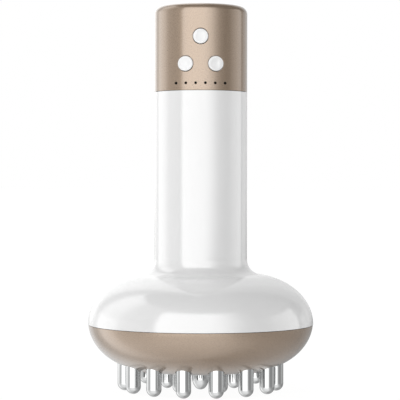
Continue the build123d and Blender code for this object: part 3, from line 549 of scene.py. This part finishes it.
# %% Shrink film of the cell
FILM_BLUE = (0.010, 0.075, 0.25)
WRINKLE_MM, WRINKLE_HEIGHT_MM, AROUND_CELL = 4.0, 0.04, (1.0, 1.0, 5.0)


def shrink_film():
    material, tree, shader = start_finish(
        "shrink_film", FILM_BLUE, roughness=0.28, Coat_Weight=0.5)
    wrinkles = clouds(tree, own_coordinates(tree, AROUND_CELL), WRINKLE_MM, detail=3.0)
    tint(tree, shader, wrinkles, *around(FILM_BLUE, 0.12))
    dull(tree, shader, wrinkles, 0.22, 0.36)
    relief(tree, shader, wrinkles, WRINKLE_HEIGHT_MM, ("Normal", "Coat Normal"))
    return material


finishes["cell_wrap"] = shrink_film()
print("finishes made:", len(finishes))

# %% [markdown]
# The model's record says which finish each piece takes. Handing the finishes out from that
# list, and not piece by piece, means that no piece is forgotten.

# %% Hand the finishes out
slot_of = {part["node"]: part["material_slot"] for part in frame["record"]["subparts"]}
for name, piece in pieces.items():
    for place in piece.material_slots:
        place.material = finishes[slot_of[name]]
print("pieces finished:", len(pieces), "finishes in use:", len(set(slot_of.values())))

# %% [markdown]
# The photograph was taken from far off with a long lens, level with the lower half of the
# grip. The seams bend a little, up at the cap and down at the head, and that bend gives the
# distance. The picture's scale then gives the lens. A quarter of a millimetre between the
# buttons' and the outline's middles says that the camera stood half a degree to the right.

# %% Camera
scene = bpy.context.scene
FOCAL_DOTS, PHOTO_DOTS, SENSOR_MM = 1700.0, 400.0, 36.0
CAMERA_PLACE = (-0.00033, -0.756, 0.0909)
LOOKS_DOWN, LEANS, STANDS_ASIDE = math.radians(0.5), math.radians(0.09), math.radians(0.5)
LOOKS_LEVEL = math.radians(90)

camera_data = bpy.data.cameras.new("photo_camera")
camera_data.sensor_width = SENSOR_MM
camera_data.lens = FOCAL_DOTS / PHOTO_DOTS * SENSOR_MM
camera = bpy.data.objects.new("photo_camera", camera_data)
scene.collection.objects.link(camera)
aim = Matrix.Rotation(LOOKS_LEVEL - LOOKS_DOWN, 4, "X") @ Matrix.Rotation(LEANS, 4, "Z")
camera.matrix_world = (Matrix.Rotation(STANDS_ASIDE, 4, "Z")
                       @ Matrix.Translation(CAMERA_PLACE) @ aim)
scene.camera = camera
scene.view_settings.view_transform = "Standard"
print("camera at", [round(v, 4) for v in camera.matrix_world.translation],
      "lens", round(camera_data.lens, 1))

# %% [markdown]
# The ground is plain white, and the photograph shows it as pure white with no edge. A real
# white sheet would be a little grey there, so to the camera, and through clear plastic, the
# sheet also glows by itself. Just enough of its own paint remains to keep the massager's
# soft shadow. Light that falls from it onto the massager comes from the paint alone. The
# sheet is so wide that its edge lies at the horizon.

# %% White ground
GROUND_HALF, GROUND_WHITE = 30.0, (0.94, 0.94, 0.94)
GLOW_SHARE, GLOW = 0.92, 1.04


def white_ground_finish():
    material, tree, paint = start_finish("ground_paint", GROUND_WHITE, roughness=0.7)
    path = tree.nodes.new("ShaderNodeLightPath")
    glow = tree.nodes.new("ShaderNodeEmission")
    glow.inputs["Strength"].default_value = GLOW
    share = tree.nodes.new("ShaderNodeMath")
    share.operation = "MULTIPLY"
    share.inputs[1].default_value = GLOW_SHARE
    either = tree.nodes.new("ShaderNodeMath")
    either.operation = "MAXIMUM"
    seen = tree.nodes.new("ShaderNodeMixShader")
    tree.links.new(path.outputs["Is Camera Ray"], either.inputs[0])
    tree.links.new(path.outputs["Is Transmission Ray"], either.inputs[1])
    tree.links.new(either.outputs[0], share.inputs[0])
    tree.links.new(share.outputs[0], seen.inputs["Fac"])
    tree.links.new(paint.outputs["BSDF"], seen.inputs[1])
    tree.links.new(glow.outputs["Emission"], seen.inputs[2])
    tree.links.new(seen.outputs["Shader"], tree.nodes["Material Output"].inputs["Surface"])
    return material


ground_mesh = bpy.data.meshes.new("white_ground")
corners = [(x * GROUND_HALF, y * GROUND_HALF, 0)
           for x, y in ((-1, -1), (1, -1), (1, 1), (-1, 1))]
ground_mesh.from_pydata(corners, [], [(0, 1, 2, 3)])
ground_mesh.materials.append(white_ground_finish())
ground = bpy.data.objects.new("white_ground", ground_mesh)
ground.visible_glossy = False
scene.collection.objects.link(ground)
print("ground is", 2 * GROUND_HALF, "m wide")

# %% [markdown]
# Gloss shows the room, so the room has to be right. Soft panels stand around the massager
# with dark gaps between them. Modelled panels would flood the white plastic, which wants an
# even plain light, so the panels are drawn in the world's own nodes, where only gloss sees
# them. Two small helpers keep the writing of these nodes short.

# %% The world, and helpers for its nodes
studio = bpy.data.worlds.new("studio")
scene.world = studio
studio.use_nodes = True
room = studio.node_tree
room.nodes.clear()


def room_node(kind, **values):
    """A node in the world's own network, with these settings."""
    node = room.nodes.new(kind)
    for key, value in values.items():
        setattr(node, key, value)
    return node


def room_math(operation, first, second=None, clamp=False):
    """A sum on plain numbers or on other nodes' values."""
    node = room_node("ShaderNodeMath", operation=operation, use_clamp=clamp)
    for socket, value in zip(node.inputs, (first, second)):
        if isinstance(value, (int, float)):
            socket.default_value = value
        elif value is not None:
            room.links.new(value, socket)
    return node.outputs[0]


print("world:", scene.world.name)

# %% [markdown]
# Two angles say where gloss looks. The turn goes around the massager, from 0 in front of the
# buttons to 90 on the right and -90 on the left. The rise is 0 level with it and 90 straight
# above. Angles are used and not places, because a reflection in a small curved thing shows
# only the direction that its light comes from.

# %% Turn and rise
direction = room_node("ShaderNodeTexCoord")
axes = room_node("ShaderNodeSeparateXYZ")
room.links.new(direction.outputs["Generated"], axes.inputs[0])
x, y, z = axes.outputs
IN_DEGREES = 180 / math.pi
turn = room_math("MULTIPLY", room_math("ARCTAN2", x, room_math("MULTIPLY", y, -1.0)),
                 IN_DEGREES)
rise = room_math("MULTIPLY", room_math("ARCSINE", z), IN_DEGREES)
print("turn and rise are worked out in degrees")

# %% [markdown]
# Cloth stretched in front of a lamp is brightest in its middle and fades to its edges. A
# panel is therefore a smooth curve over the turn times a smooth curve over the rise, each
# drawn through a few points. A curve over the turn ends as it starts, because -180 and 180
# are the same place behind the massager.


# %% A panel of light
def profile(angle, points):
    """Brightness over an angle, through (degrees, brightness) points."""
    low, high = points[0][0], points[-1][0]
    share = room_math("DIVIDE", room_math("SUBTRACT", angle, low), high - low, clamp=True)
    node = room_node("ShaderNodeFloatCurve")
    curve = node.mapping.curves[0]
    curve.points[0].location = (0.0, points[0][1])
    curve.points[1].location = (1.0, points[-1][1])
    for degrees, brightness in points[1:-1]:
        curve.points.new((degrees - low) / (high - low), brightness)
    for point in curve.points:
        point.handle_type = "AUTO_CLAMPED"
    node.mapping.update()
    room.links.new(share, node.inputs["Value"])
    return node.outputs["Value"]


panels = {}


def add_panel(name, strength, over_turn, over_rise):
    """Light of this strength where both profiles are 1."""
    shape = room_math("MULTIPLY", profile(turn, over_turn), profile(rise, over_rise))
    panels[name] = room_math("MULTIPLY", shape, strength)
    print("panel", name, "of strength", strength)


# %% [markdown]
# The bright strip down the grip is a wide panel in front. Its left edge is sharp and its
# right edge fades away slowly. The slow fade is a second panel that stands a little higher
# above the ground, so on the dome it stops where the photograph's does.

# %% Panels in front
FRONT_STRENGTH = 2.6
add_panel("front", FRONT_STRENGTH,
          [(-180, 0), (-56, 0), (-50, 0.2), (-45, 0.75), (-40, 1), (6, 1), (13, 0.7),
           (20, 0.38), (28, 0.12), (38, 0), (180, 0)],
          [(-90, 0), (-30, 0), (-15, 0.3), (-6, 0.9), (0, 1), (38, 1), (46, 0.65),
           (50, 0.3), (55, 0.12), (60, 0.08), (70, 0.04), (80, 0.02), (90, 0.02)])
add_panel("front_side", FRONT_STRENGTH,
          [(-180, 0), (5, 0), (13, 0.26), (20, 0.5), (28, 0.6), (36, 0.46), (46, 0.22),
           (56, 0.08), (70, 0), (180, 0)],
          [(-90, 0), (-7, 0), (-2, 0.8), (1, 1), (38, 1), (46, 0.65), (50, 0.3),
           (55, 0.12), (60, 0.08), (70, 0.04), (90, 0.02)])

# %% [markdown]
# A tall panel on the left gives the bright band along the grip's left side and the large
# patch on the dome. The one on the right is dimmer and lower, and its far edge is sharp: it
# gives the thin line near the grip's right edge and the small patch on the dome.

# %% Panels at the sides
add_panel("left", 1.75,
          [(-180, 0), (-146, 0), (-137, 0.1), (-130, 0.45), (-124, 1), (-117, 1.12),
           (-104, 1.05), (-94, 0.78), (-84, 0.44), (-70, 0.34), (-58, 0.32), (-46, 0.1),
           (-36, 0), (180, 0)],
          [(-90, 0), (-12, 0), (-6, 0.45), (-1, 0.85), (8, 0.85), (20, 0.65), (50, 0.8),
           (54, 0.7), (59, 0), (90, 0)])
add_panel("right", 1.1,
          [(-180, 0), (44, 0), (58, 0.08), (72, 0.15), (84, 0.5), (100, 0.8), (113, 0.97),
           (118, 0.85), (122, 0.1), (126, 0), (180, 0)],
          [(-90, 0), (-20, 0), (-6, 0.5), (0, 1), (24, 0.9), (30, 0.05), (90, 0)])

# %% [markdown]
# At its outline every glossy thing mirrors what stands behind it. The photograph's outline
# melts into the white background on the left and is a little darker on the right, so the
# light behind is stronger on the left. Two low strips fill the gaps next to the side panels
# at the grip's height, so that only thin dark lines are left there.

# %% Panels behind
add_panel("behind_left", 1.45,
          [(-180, 0.7), (-172, 0.8), (-163, 0.95), (-154, 0.9), (-148, 0.7), (-140, 0.3),
           (-130, 0.15), (-118, 0), (170, 0), (174, 0.05), (178, 0.35), (180, 0.7)],
          [(-90, 0), (-5, 0.12), (0, 0.42), (12, 0.68), (30, 0.86), (40, 0.95), (60, 0.88),
           (80, 0.58), (90, 0.1)])
add_panel("left_gap", 0.65,
          [(-180, 0.2), (-172, 0.6), (-157, 0.8), (-148, 1.1), (-139, 0.75), (-132, 0.4),
           (-124, 0.2), (-118, 0), (174, 0), (180, 0.2)],
          [(-90, 0), (-16, 0), (-5, 0.8), (0, 1), (8, 0.9), (16, 0.35), (30, 0.15),
           (42, 0), (90, 0)])
add_panel("behind_right", 0.85,
          [(-180, 0.6), (-172, 0.25), (-162, 0), (130, 0), (142, 0.4), (150, 0.55),
           (158, 0.7), (166, 0.9), (176, 0.9), (180, 0.6)],
          [(-90, 0), (-5, 0.2), (0, 0.75), (10, 0.87), (40, 0.95), (60, 0.85), (90, 0.2)])
add_panel("right_gap", 0.5,
          [(-180, 0), (119, 0), (126, 0.6), (131, 1), (140, 0.6), (150, 0.4), (158, 0),
           (180, 0)],
          [(-90, 0), (-14, 0), (-5, 0.8), (0, 1), (7, 0.9), (14, 0.2), (22, 0), (90, 0)])

# %% [markdown]
# Gloss that faces down mirrors the white ground. Near the pins the ground is shaded by the
# head, and far off it is bright, but less so behind and on the right. The lower shell and
# the pins' round ends show both.

# %% Ground as gloss sees it
add_panel("ground_near", 0.93,
          [(-180, 0.7), (-120, 0.75), (-80, 0.95), (-40, 1), (30, 1), (60, 0.78),
           (90, 0.5), (130, 0.5), (180, 0.7)],
          [(-90, 0.9), (-60, 0.86), (-30, 0.33), (-15, 0), (90, 0)])
add_panel("ground_far", 1.5,
          [(-180, 0.1), (-154, 0.45), (-140, 0.35), (-131, 0.5), (-122, 1.05), (-112, 1.2),
           (-100, 0.9), (-84, 0.72), (-68, 0.7), (-40, 0.85), (10, 0.9), (40, 0.5),
           (60, 0.34), (90, 0.26), (120, 0.2), (150, 0.15), (180, 0.1)],
          [(-90, 0), (-60, 0.3), (-30, 0.8), (-15, 1), (-9, 0.75), (-5, 0.45), (0, 0),
           (90, 0)])

# %% [markdown]
# The gaps between the panels aren't black, because a white room lights itself a little. The
# panels are added to that dim level.

# %% Add the panels up
DIM_ROOM = 0.12
glossy_light = DIM_ROOM
for panel in panels.values():
    glossy_light = room_math("ADD", glossy_light, panel)
print("panels added:", len(panels))

# %% [markdown]
# Three kinds of ray look at the room. Gloss gets the panels. The camera, and anything seen
# through clear plastic, gets plain white, which is the photograph's background. All other
# light is even all around, at a level at which a colour looks about as it is written, and
# dims gently towards straight above, because the photograph's dome darkens as it turns up.

# %% Even light, and who sees what
PLAIN_WHITE = 1.0
EVEN_LIGHT, LESS_ABOVE = 1.21, 0.64


def lit(strength):
    """White light of one strength, or of a strength that another node gives."""
    node = room_node("ShaderNodeBackground")
    node.inputs["Color"].default_value = (1.0, 1.0, 1.0, 1.0)
    if isinstance(strength, float):
        node.inputs["Strength"].default_value = strength
    else:
        room.links.new(strength, node.inputs["Strength"])
    return node.outputs[0]


def choose(share, first, second):
    """The first light where the share is 0, the second where it is 1."""
    node = room_node("ShaderNodeMixShader")
    for socket, value in zip(node.inputs, (share, first, second)):
        room.links.new(value, socket)
    return node.outputs[0]


path = room_node("ShaderNodeLightPath")
seen = room_math("ADD", path.outputs["Is Camera Ray"], path.outputs["Is Transmission Ray"],
                 clamp=True)
height = room_math("MULTIPLY", room_math("MAXIMUM", z, 0.0), LESS_ABOVE)
even = room_math("SUBTRACT", EVEN_LIGHT, height)
bounced = choose(path.outputs["Is Glossy Ray"], lit(even), lit(glossy_light))
room_out = room_node("ShaderNodeOutputWorld")
room.links.new(choose(seen, bounced, lit(PLAIN_WHITE)), room_out.inputs["Surface"])
print("even light:", EVEN_LIGHT, "less", LESS_ABOVE, "above")

# %% [markdown]
# One soft lamp to the left gives the roundness: the photograph's whites are brightest there
# and fall off gently to the right. Gloss doesn't see it, because the left panel already
# stands for it.

# %% Lamp
LAMP_PLACE, LAMP_TARGET = Vector((-1.15, -0.38, 0.34)), Vector((0.0, 0.0, 0.09))
LAMP_WIDTH, LAMP_HEIGHT, LAMP_WATTS = 0.5, 0.8, 3.4

lamp_data = bpy.data.lights.new("left_lamp", "AREA")
lamp_data.shape = "RECTANGLE"
lamp_data.size, lamp_data.size_y = LAMP_WIDTH, LAMP_HEIGHT
lamp_data.energy = LAMP_WATTS
lamp = bpy.data.objects.new("left_lamp", lamp_data)
towards = LAMP_TARGET - LAMP_PLACE
lamp.location = LAMP_PLACE
lamp.rotation_euler = towards.to_track_quat("-Z", "Y").to_euler()
lamp.visible_glossy = False
scene.collection.objects.link(lamp)
print("the lamp is", round(towards.length, 2), "m away")

# %% [markdown]
# Nothing here changes the model's size, so the finished scene is as large as the model it
# came from.

# %% Finish
print("scene finished")
